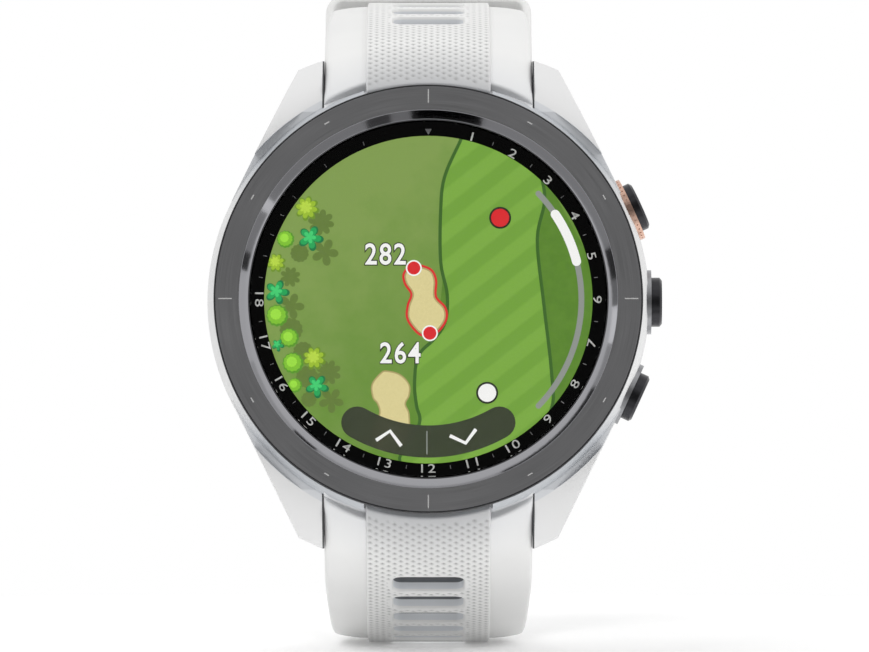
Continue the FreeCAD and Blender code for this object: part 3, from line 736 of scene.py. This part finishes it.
def strap_skin(name, run, start, end, first_slot, last_slot, finishes, closing):
    """One moulded length of strap, from a grid over its face, cut at the slots and closed underneath."""
    first_row = 0.9 if start == 0 else start + 0.3 * ROW_STEP
    first_step = math.ceil((first_row - first_slot) / ROW_STEP)
    last_step = math.floor((end - first_slot) / ROW_STEP - 0.3)
    rows = np.arange(first_step, last_step + 1)
    first_rows = NOSE_ROWS if start == 0 else [start]
    last_rows = end + np.array(BUCKLE_ROWS) if closing == "buckle" else [end]
    along_rows = np.concatenate([first_rows, first_slot + rows * ROW_STEP, last_rows])
    slots = first_slot + SLOT_PITCH * np.arange(round((last_slot - first_slot) / SLOT_PITCH) + 1)
    side = np.array(SIDE_STEPS)
    across = np.concatenate([-1 - side[::-1], np.linspace(-1, 1, 81), 1 + side])
    u, along = np.meshgrid(across, along_rows)
    wide = half_width(np.minimum(along, run.length))
    tip = run.length - along
    panel = np.full_like(wide, PANEL_HALF)
    if closing == "tail":
        turn_in = np.clip(TIP_R - tip, 0, TIP_R)
        wide = wide - TIP_R + np.sqrt(TIP_R ** 2 - turn_in ** 2)
        panel = np.minimum(panel, wide - 1.6)
    x = np.where(np.abs(u) <= 1, u * panel, np.sign(u) * (panel + (np.abs(u) - 1) * (wide - panel)))
    from_nose = along
    on_panel = np.abs(u) <= 1
    if start == 0:
        step = np.where(on_panel, nose_start(x, PANEL_NOSE_R), nose_start(x, SIDE_NOSE_R))
        lip = np.where(on_panel, step, nose_start(x, LEDGE_R))
        pulled = along + step * np.clip(1 - along / NOSE_BLEND, 0, 1)
        along = np.where(along < 0, step + along * (step - lip), pulled)

    centre_x = (x[:-1, :-1] + x[1:, 1:]) / 2
    centre_s = (along[:-1, :-1] + along[1:, 1:]) / 2
    gone = slot_gap(centre_x, centre_s, slots)[0] < 0
    if closing == "buckle":
        gone |= (np.abs(centre_x) < 1.4) & (centre_s > run.length - 3.4)
    gap, spine_x, spine_s, away = slot_gap(x, along, slots)
    edge, kept_corner = np.zeros_like(x, bool), np.zeros_like(x, bool)
    for rows_at, columns_at in ((0, 0), (0, 1), (1, 0), (1, 1)):
        here = (slice(rows_at, rows_at + gone.shape[0]), slice(columns_at, columns_at + gone.shape[1]))
        edge[here] |= gone
        kept_corner[here] |= ~gone
    rim = edge & kept_corner & (np.abs(gap) < 0.4)
    safe = np.maximum(away, 1e-6)
    x = np.where(rim, spine_x + (x - spine_x) / safe * SLOT_R, x)
    along = np.where(rim, spine_s + (along - spine_s) / safe * SLOT_R, along)
    gap = np.where(rim, 0.0, gap)

    inside = np.clip((wide - np.abs(x)) / np.maximum(wide - panel, 0.01), 0, 1)
    arch = -0.5 * (1 - inside) ** 2
    top = arch - rounding(wide - np.abs(x), 0.5)
    ends = np.ones_like(top)
    if closing == "tail":
        ends = eased((tip - 4.5) / 1.5)
    if closing == "buckle":
        ends = eased((run.length - 4.0 - along) / 2.0)
    step_down = np.clip(1 - (np.abs(x) - panel) / 0.1, 0, 1)
    raised = np.where(np.abs(x) <= panel + 1e-6, 1.0, step_down) * ends
    top = top + PANEL_RISE * raised - rounding(panel - np.abs(x) + 0.02, 0.14) * (raised > 0.99)
    top = top - rounding(np.maximum(gap, 0), 0.32)
    low_end = along[0] + 0.9 if start == 0 else start
    high_end = tip.min() + end - 6.5 if closing else end
    pit = dimples(x, along, first_slot, gap, low_end, high_end)
    top = top - DIMPLE_DEPTH * pit
    bottom = -STRAP_T + rounding(wide - np.abs(x), 0.6) + rounding(np.maximum(gap, 0), 0.2)
    if start == 0:
        ledge = (from_nose < 0) & ~on_panel
        top = np.where(ledge, -1.0, top - rounding(np.maximum(from_nose, 0), np.where(on_panel, 0.2, 0.35)))
        knuckle = -2.25 - np.sqrt(np.clip(4.0 - (along - PIN_ALONG) ** 2, 0, 4.0))
        web = np.where((along > 6.2) & (along < 13), -3.83 + (along - 6.2) * 1.23 / 6.8, 0)
        lug_under = np.where(np.abs(along - PIN_ALONG) < 2, knuckle, web)
        web_edge = web + rounding(wide - np.abs(x), 0.6)
        bottom = np.minimum(bottom, np.where(along < 6.2, lug_under, web_edge))
        nose_under = np.where(on_panel, -0.6, -1.6)
        thinned = nose_under + (bottom - nose_under) * eased(from_nose / 1.4)
        bottom = np.where(from_nose < 1.4, thinned, bottom)
    if closing:
        is_eye = closing == "buckle"
        thick, end_r, centre, swell_from, swell_over = (
            (1.75, 1.8, run.length, 4, 3) if is_eye else (1.3, 1.2, run.length - 1.2, 2, 0.8))
        middle = -STRAP_T / 2
        reach = np.clip(along - centre, 0, None)
        round_end = np.sqrt(np.clip(end_r ** 2 - reach ** 2, 0, None))
        swell = eased((along - run.length + swell_from) / swell_over)
        limit_top = middle + np.where(reach > 0, round_end * thick / end_r, thick)
        limit_low = 2 * middle - limit_top
        end_top = limit_top if is_eye else np.minimum(limit_top, top)
        end_low = limit_low if is_eye else np.maximum(limit_low, bottom)
        top = top * (1 - swell) + end_top * swell
        bottom = bottom * (1 - swell) + end_low * swell
    top = np.maximum(top, bottom + 0.02)

    keep = ~gone
    height, width = x.shape
    index = np.arange(height * width).reshape(height, width)
    quads = np.stack([index[:-1, :-1], index[:-1, 1:], index[1:, 1:], index[1:, :-1]], axis=-1)[keep]
    tally = {}
    for quad in quads.tolist():
        for a, b in zip(quad, quad[1:] + quad[:1]):
            if (b, a) in tally:
                del tally[(b, a)]
            else:
                tally[(a, b)] = True
    under = height * width
    half_way = 2 * under
    on_rim = rim.ravel()
    walls, wall_picks = [], []
    for a, b in tally:
        if on_rim[a] and on_rim[b]:
            walls += [(b, a, a + half_way, b + half_way), (b + half_way, a + half_way, a + under, b + under)]
            wall_picks += [1, 2]
        else:
            walls.append((b, a, a + under, b + under))
            wall_picks.append(0)
    # Where a slot wall changes from the light to the dark painted shade.
    slot_shade_split = np.maximum(top - SLOT_SHADE_SPLIT, bottom + 0.1)
    points = np.concatenate([run.place(x, along, lift).reshape(-1, 3) for lift in (top, bottom, slot_shade_split)])
    faces = quads.tolist() + (quads[:, ::-1] + under).tolist() + walls
    if run.side > 0:
        faces = [tuple(face[::-1]) for face in faces]
    used = np.unique(np.array(faces))
    fresh = np.zeros(len(points), int)
    fresh[used] = np.arange(len(used))
    faces = [tuple(face) for face in fresh[np.array(faces)].tolist()]
    picks = [0] * (2 * len(quads)) + wall_picks
    piece = mesh_piece(name, points[used].tolist(), faces, finishes, picks, crease=40)
    dent = piece.data.attributes.new("dimple", "FLOAT", "POINT")
    dent.data.foreach_set("value", np.concatenate([pit.ravel(), np.zeros(2 * under)])[used])
    return piece


NOSE_SHADE_R = (23.0, 28.5)
NOSE_SHADE_BACK = (5.0, 15.0)
REACH = 40
silicone = Finish("white_silicone", shade(226, 226, 225), 0.5, Coat_Weight=0.0)
dimple_shade = silicone.node("ShaderNodeAttribute", {"attribute_name": "dimple"}, out="Fac")
clouded = silicone.tint(silicone.speckle(7.0), shade(222, 222, 221), shade(229, 229, 228))
strap_radius, _ = polar(silicone)
strap_across, strap_depth, _ = silicone.axes(silicone.place())
# Painted shade: the nose is coloured greyer within a few millimetres of the bezel, for the shade under it.
strap_side = silicone.ramp(strap_across * strap_across / 100, (0.42, 0.0), (0.45, 1.0))
nose_shade_grey = silicone.tint(strap_side, shade(170, 171, 173), shade(210, 211, 213))
outward = silicone.ramp(strap_radius / REACH, (NOSE_SHADE_R[0] / REACH, 0.0), (NOSE_SHADE_R[1] / REACH, 1.0))
behind = silicone.ramp(strap_depth / SPAN, (NOSE_SHADE_BACK[0] / SPAN, 0.0), (NOSE_SHADE_BACK[1] / SPAN, 1.0))
nose_shaded = silicone.tint(outward + behind, nose_shade_grey, clouded)
# Painted shade: the dimples are coloured darker by their depth, for the shade in their hollows.
silicone.feed("Base Color", silicone.tint(dimple_shade, nose_shaded, shade(150, 150, 150)))
skin_grain = silicone.speckle(0.09, detail=3.0)
silicone.feed("Roughness", skin_grain * 0.14 + 0.46)
silicone.relief(skin_grain, 0.008)
# Painted shade: slot walls are light grey at the rim and dark grey deeper in, for the shade inside the slots.
slot_grey = moulded("slot_grey", shade(214, 217, 221), 0.5, 0.62, 0.1, 0.008)
slot_deep = moulded("slot_deep", shade(108, 111, 115), 0.5, 0.62, 0.1, 0.008)
strap_finishes = [silicone, slot_grey, slot_deep]
UPPER_SLOT = 17.6
LOWER_SLOT = 12.5
UPPER_END_SLOT = UPPER_SLOT + 7 * SLOT_PITCH
LOWER_END_SLOT = LOWER_SLOT + 15 * SLOT_PITCH
SPLIT = LOWER_SLOT + 8.5 * SLOT_PITCH


BEND_REACH = 7.0


def hinge_span(run, along):
    """Where the skin starts and ends its bend over a hinge, in metres."""
    return [tuple(run.place(0, along + way * BEND_REACH, -STRAP_T / 2) * MM) for way in (-1, 1)]


upper_strap = strap_skin("upper_strap", upper_run, 0, upper_run.length, UPPER_SLOT, UPPER_END_SLOT,
                         strap_finishes, "buckle")
lower_strap = strap_skin("lower_strap", lower_run, 0, SPLIT, LOWER_SLOT, LOWER_END_SLOT,
                         strap_finishes, None)
strap_tail = strap_skin("strap_tail", lower_run, SPLIT, lower_run.length, LOWER_SLOT, LOWER_END_SLOT,
                        strap_finishes, "tail")
bends = ((upper_strap, "upper_near", "upper_far", upper_run, UPPER_SLOT + 3.5 * SLOT_PITCH),
         (lower_strap, "lower_near", "lower_middle", lower_run, LOWER_SLOT + 4.5 * SLOT_PITCH),
         (strap_tail, "lower_middle", "lower_tail", lower_run, LOWER_SLOT + 11.5 * SLOT_PITCH))
for piece, near, far, run, along in bends:
    begin, finish_at = hinge_span(run, along)
    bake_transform(piece)
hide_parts("upper_strap_near", "upper_strap_far")
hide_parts("lower_strap_near", "lower_strap_middle")
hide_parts("lower_strap_tail")


# ---- keepers ----
# Two loops of the same silicone. The fixed one is moulded to the buckle half beside the buckle, and the
# free one slides along it and holds the tail down.
KEEPER_WALL = 1.1
KEEPER_WIDE = 5.0
KEEPER_CORNER = 1.5
TAIL_ROOM = 3.3
BUCKLE_END_HALF = 10.1


def keeper_loop(name, along, gap, finish):
    """A band with soft edges, swept round the strap with rounded corners."""
    half = BUCKLE_END_HALF + gap + KEEPER_WALL / 2
    low, high = -STRAP_T - gap - KEEPER_WALL / 2, TAIL_ROOM + KEEPER_WALL / 2
    corner = KEEPER_CORNER
    line = []
    for quarter, (cx, cl) in enumerate(((half - corner, high - corner), (corner - half, high - corner),
                                        (corner - half, low + corner), (half - corner, low + corner))):
        for step in range(9):
            turn = math.pi / 2 * (quarter + step / 8)
            out_x, out_lift = math.cos(turn), math.sin(turn)
            line.append((cx + corner * out_x, cl + corner * out_lift, out_x, out_lift))
        if quarter in (0, 2):
            way = -1 if quarter == 0 else 1
            flat_run = np.linspace(-way, way, 9)[1:-1] * (half - corner)
            line += [(x, line[-1][1], 0.0, float(-way)) for x in flat_run]
    section = []
    for step in range(28):
        turn = 2 * math.pi * step / 28
        flat = [math.copysign(abs(f(turn)) ** 0.45, f(turn)) for f in (math.cos, math.sin)]
        section.append((flat[0] * KEEPER_WALL / 2, flat[1] * KEEPER_WIDE / 2))
    x, lift, s = [], [], []
    for cx, cl, nx, nl in line:
        for out, ahead in section:
            x.append(cx + nx * out)
            lift.append(cl + nl * out)
            s.append(along + ahead)
    count = len(section)
    faces = []
    for i in range(len(line)):
        for j in range(count):
            a, b = i * count, (i + 1) % len(line) * count
            faces.append((a + j, b + j, b + (j + 1) % count, a + (j + 1) % count))
    return mesh_piece(name, upper_run.place(x, s, lift).tolist(), faces, [finish], crease=60)


for name, node, body, along, gap in (("free_loop", "free_keeper", "free_keeper", 50.0, 0.3),
                                     ("fixed_loop", "fixed_keeper", "upper_far", 63.0, 0.0)):
    loop = keeper_loop(name, along, gap, silicone)
    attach(loop, body)
    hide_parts(node)


# ---- buckle, pins and latches ----
# Brushed stainless steel: a flat frame and tongue that swing on one bar, and the quick-release tubes
# and thumb latches that hold the strap between the lugs.

def brushed_along(name, dark, light, rough, grain):
    """Steel brushed one way, its streaks as long in each direction as the grain says."""
    finish = Finish(name, dark, rough, metal=1.0)
    stretched = [axis / size for axis, size in zip(finish.axes(finish.place()), grain)]
    lines = finish.node("ShaderNodeCombineXYZ", {}, *stretched)
    streak = finish.speckle(1.0, detail=3.0, vector=lines)
    finish.feed("Base Color", finish.tint(streak, dark, light))
    finish.feed("Roughness", streak * 0.15 + rough)
    finish.relief(streak, 0.005)
    return finish


buckle_steel = brushed_along("buckle_steel", shade(176, 176, 178), shade(206, 206, 208), 0.24,
                             (2.5, 0.12, 0.12))
pin_steel = brushed_along("pin_steel", shade(160, 160, 162), shade(190, 190, 192), 0.26, (1.5, 0.1, 0.1))
dress(buckle_steel, "buckle_frame", "buckle_tongue")
dress(pin_steel, "buckle_bar", "upper_lug_pin", "lower_lug_pin", "upper_latch", "lower_latch", "rear_screws",
      "start_clip", "menu_clip", "back_clip", "motor_shaft")


# ---- buttons ----
# Three dark coated steel caps. The start button sits in a rose-gold collar drilled with two staggered
# rows of dots, and the other two in satin grey guards.
button_dark = brushed_along("button_dark", shade(58, 58, 61), shade(78, 78, 81), 0.24, (0.08, 0.9, 0.08))
dress(button_dark, "start_button", "menu_button", "back_button")
rose_gold = brushed_along("rose_gold", shade(222, 180, 160), shade(240, 202, 182), 0.24, (0.1, 1.4, 0.1))
dress(rose_gold, "start_collar")
guard_grey = brushed_along("guard_grey", shade(160, 161, 164), shade(186, 187, 190), 0.3, (0.1, 1.4, 0.1))
dress(guard_grey, "menu_guard", "back_guard")


# ---- back ----
# The back plate is the same moulding as the case, a shade darker. It holds a smoked sensor window with
# the lamps behind it, four screws and the charging socket with gold contacts.
cover_white = moulded("cover_white", shade(222, 220, 216), 0.4, 0.52, 0.12, 0.01)
dress(cover_white, "rear_cover")
smoked = Finish("smoked_window", shade(14, 14, 17), 0.05, Coat_Weight=0.6, Coat_Roughness=0.03)
smoked.feed("Roughness", smoked.speckle(1.2) * 0.05 + 0.04)
far, _ = polar(smoked)
window_edge = smoked.ramp(far / 6.0, (0.55, 0.0), (0.6, 1.0))
smoked.feed("Base Color", smoked.tint(window_edge, shade(26, 30, 26), shade(9, 9, 11)))
dress(smoked, "sensor_window")
port_black = moulded("port_black", shade(26, 26, 27), 0.4, 0.55, 0.1, 0.01)
dress(port_black, "charge_port")
gold = polished("contact_gold", shade(232, 188, 96), 0.16)
dress(gold, "charge_contacts")


# ---- inside ----
# What the case closes over: seals, the magnesium frame and aerial ring, the boards and their shield
# cans, the foil battery, the buzzer motor, button switches and films.
seal_black = moulded("seal_black", shade(24, 24, 25), 0.55, 0.7, 0.15, 0.01)
dress(seal_black, "bezel_gasket", "rear_gasket", "lens_gasket", "button_seals")
cast_grey = moulded("cast_grey", shade(150, 151, 154), 0.35, 0.5, 0.2, 0.012)
dress(cast_grey, "inner_frame", "motor_weight")
board_green = moulded("board_green", shade(30, 92, 52), 0.25, 0.4, 0.5, 0.01)
dress(board_green, "main_board", "sensor_board")
tinned = brushed_along("tinned_steel", shade(188, 188, 186), shade(208, 208, 204), 0.2, (0.6, 0.6, 0.15))
dress(tinned, "processor_shield", "gps_receiver", "pressure_sensor", "motor_can", "antenna_ring",
      "button_switches")
foil = moulded("battery_foil", shade(62, 63, 66), 0.3, 0.45, 0.8, 0.02)
dress(foil, "battery")
film = moulded("amber_film", shade(186, 120, 42), 0.25, 0.35, 0.4, 0.004)
dress(film, "display_flex", "button_flex")
lamp = moulded("lamp_resin", shade(222, 226, 186), 0.2, 0.3, 0.3, 0.003)
dress(lamp, "sensor_leds")


# ---- studio ----
# A white table that the strap stands on, leaning back a little, large soft lamps, a white room with dark
# flags and pale panels in a ring round the long lens, which the polished edge of the bezel mirrors.
LEAN = math.radians(5)
TABLE_HALF = (0.13, 0.075)
TABLE_Y = 0.063
AIM = Vector((0.00066, -0.0138, -0.00295))
DISTANCE = 1.2
TILT = math.radians(-3.55)
VIEW_WIDE = 92.983 * MM
SENSOR = 36
TABLE_STEPS = 96
PANELS = ((-180, 0.55), (-147, 0.02), (-138, 0.6), (-114, 0.8), (-87, 0.06), (-81, 0.4), (-67, 1.1),
          (-62, 0.38), (-22, 0.08), (-13, 0.3), (-6, 0.0), (18, 0.42), (78, 0.05), (88, 0.28), (97, 1.2),
          (107, 0.5), (122, 0.04), (158, 0.55))

lowest = min(v.co.z * math.cos(LEAN) - v.co.y * math.sin(LEAN) for v in lower_strap.data.vertices)
table_points = []
for step in range(TABLE_STEPS):
    a = 2 * math.pi * step / TABLE_STEPS
    x, y = TABLE_HALF[0] * math.cos(a), TABLE_Y + TABLE_HALF[1] * math.sin(a)
    table_points.append((x / MM, y / MM, (lowest + y * math.sin(LEAN)) / math.cos(LEAN) / MM))
table_white = moulded("table_white", (0.95, 0.95, 0.95), 0.7, 0.8, 2.0, 0.004)
table_white.shader.inputs["Emission Color"].default_value = (1, 1, 1, 1)
table_white.shader.inputs["Emission Strength"].default_value = 0.12
table = mesh_piece("table", table_points, [tuple(range(TABLE_STEPS))], [table_white])

world = bpy.data.worlds.new("room")
bpy.context.scene.world = world
world.use_nodes = True
sky = world.node_tree


def sky_node(kind, settings, *values):
    """A node of the room's light, with its inputs joined or set."""
    made = sky.nodes.new(kind)
    for key, value in settings.items():
        setattr(made, key, value)
    for socket, value in zip(made.inputs, values):
        if isinstance(value, (int, float)):
            socket.default_value = value
        elif value:
            sky.links.new(value, socket)
    return made


def zone(value, start, end, low, high):
    """A smooth change from low to high as a value goes from start to end."""
    smooth = {"interpolation_type": "SMOOTHSTEP"}
    return sky_node("ShaderNodeMapRange", smooth, value, start, end, low, high).outputs[0]


def blended(amount, first, second):
    return sky_node("ShaderNodeMix", {}, amount, None, first, second).outputs[0]


coords = sky_node("ShaderNodeTexCoord", {}).outputs["Generated"]
to_x, to_y, to_z = sky_node("ShaderNodeSeparateXYZ", {}, coords).outputs
flip_x = sky_node("ShaderNodeMath", {"operation": "MULTIPLY"}, to_x, -1.0).outputs[0]
flip_z = sky_node("ShaderNodeMath", {"operation": "MULTIPLY"}, to_z, -1.0).outputs[0]
bearing = sky_node("ShaderNodeMath", {"operation": "ARCTAN2"}, flip_x, flip_z).outputs[0]
share = sky_node("ShaderNodeMapRange", {}, bearing, -math.pi, math.pi, 0.0, 1.0).outputs[0]
panel_ring = sky_node("ShaderNodeValToRGB", {}, share)
panel_ring.color_ramp.interpolation = "CONSTANT"
panel_stops = panel_ring.color_ramp.elements
for index, (turn, level) in enumerate(PANELS):
    stop = panel_stops[0] if index == 0 else panel_stops.new(turn / 360 + 0.5)
    stop.position = turn / 360 + 0.5
    stop.color = (level, level, level, 1)
panel_stops.remove(panel_stops[-1])
front = zone(to_y, -0.97, -0.80, 0.10, 0.75)
panels = blended(zone(to_y, -0.73, -0.71, 0.0, 1.0), front, panel_ring.outputs[0])
room = blended(zone(to_y, -0.57, -0.55, 0.0, 1.0), panels, zone(to_z, -0.5, 0.1, 1.0, 0.84))
sees = sky_node("ShaderNodeLightPath", {}).outputs["Is Camera Ray"]
background = sky.nodes["Background"]
background.inputs["Color"].default_value = (1, 1, 1, 1)
sky.links.new(blended(sees, room, 1.0), background.inputs["Strength"])


def lamp_at(name, place, size, power):
    """A square soft lamp aimed at the watch."""
    light = bpy.data.lights.new(name, "AREA")
    light.size = size
    light.energy = power
    holder = bpy.data.objects.new(name, light)
    holder.location = place
    holder.rotation_euler = (Vector((0, 0.01, 0)) - Vector(place)).to_track_quat("-Z", "Y").to_euler()
    holder.visible_glossy = False
    bpy.context.scene.collection.objects.link(holder)


lamp_at("key_lamp", (-0.28, -0.34, 0.46), 0.5, 1.7)
lamp_at("fill_lamp", (0.44, -0.24, 0.2), 0.5, 0.9)
lamp_at("low_lamp", (0.05, -0.42, -0.36), 0.5, 1.3)

camera = bpy.data.cameras.new("camera")
camera.lens = SENSOR * DISTANCE / VIEW_WIDE
viewer = bpy.data.objects.new("camera", camera)
viewer.location = AIM + Vector((0, -math.cos(TILT), math.sin(TILT))) * DISTANCE
viewer.rotation_euler = (math.pi / 2 - TILT, 0, 0)
bpy.context.scene.collection.objects.link(viewer)
bpy.context.scene.camera = viewer
bpy.context.scene.view_settings.view_transform = "Standard"
